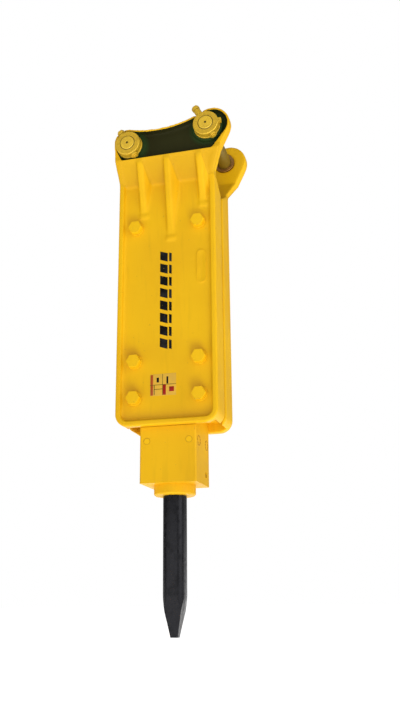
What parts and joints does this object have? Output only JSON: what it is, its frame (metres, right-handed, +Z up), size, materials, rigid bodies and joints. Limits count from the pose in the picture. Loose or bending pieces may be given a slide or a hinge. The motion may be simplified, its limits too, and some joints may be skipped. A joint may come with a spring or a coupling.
{
  "type": "hydraulic breaker hammer",
  "caption": "Top-mounted hydraulic breaker hammer: two yellow flanged side plates bolted over the power cell, two mounting pins with locked collars, and a moil point chisel.",
  "frame": {"origin": "middle of the stick pin, halfway between the two ears", "axes": "+Z up along the tool, away from its point; +Y from the front side plate to the rear one, along the mounting pins; +X to the stick pin's side"},
  "size_m": [0.4099, 0.337, 1.7277],
  "materials": {
    "yellow_paint": "semi-gloss yellow enamel on cast and welded steel",
    "pin_steel": "turned steel with yellow-passivated zinc plating",
    "bush_bronze": "greased bearing bronze",
    "chisel_steel": "dark heat-treated forged steel",
    "hardened_steel": "ground hardened steel",
    "fastener_steel": "black oxide fastener steel",
    "seal_rubber": "matt black seal rubber"
  },
  "bodies": {
    "hammer_frame": {"front_side_plate": "yellow_paint", "rear_side_plate": "yellow_paint", "ear_bushes": "bush_bronze", "stick_pin": "pin_steel", "link_pin": "pin_steel", "pin_collars": "pin_steel", "pin_lock_bolts": "pin_steel", "pin_lock_nuts": "pin_steel", "plate_bolts": "yellow_paint", "plate_bolt_nuts": "yellow_paint", "plate_bolt_washers": "yellow_paint", "front_head": "yellow_paint", "cylinder": "yellow_paint", "back_head": "yellow_paint", "tie_rods": "fastener_steel", "tie_rod_nuts": "fastener_steel", "tie_rod_washers": "fastener_steel", "dowel_pins": "hardened_steel", "seal_retainer": "hardened_steel", "retainer_o_rings": "seal_rubber", "gas_seal": "seal_rubber", "step_seal": "seal_rubber", "u_packing": "seal_rubber", "dust_wiper": "seal_rubber", "valve_housing": "yellow_paint", "valve_sleeve": "hardened_steel", "valve_plug": "fastener_steel", "valve_screws": "fastener_steel", "stroke_adjuster": "fastener_steel", "adjuster_locknut": "fastener_steel", "gas_valve": "bush_bronze", "gas_valve_cap": "hardened_steel", "thrust_bush": "hardened_steel", "front_cover": "yellow_paint", "cover_pin": "hardened_steel", "tool_retaining_pins": "hardened_steel", "retaining_stop_pins": "hardened_steel", "stop_pin_plugs": "seal_rubber", "grease_nipple": "bush_bronze"},
    "chisel": {"chisel": "chisel_steel"},
    "piston": {"piston": "hardened_steel"},
    "valve_spool": {"valve_spool": "hardened_steel"}
  },
  "joints": [
    {"name": "chisel_slide", "type": "slide", "parent": "hammer_frame", "child": "chisel", "axis": [0, 0, 1], "range_m": [0, 0.05]},
    {"name": "piston_slide", "type": "slide", "parent": "hammer_frame", "child": "piston", "axis": [0, 0, 1], "range_m": [0, 0.08]},
    {"name": "spool_slide", "type": "slide", "parent": "hammer_frame", "child": "valve_spool", "axis": [0, 0, 1], "range_m": [0, 0.012]}
  ]
}
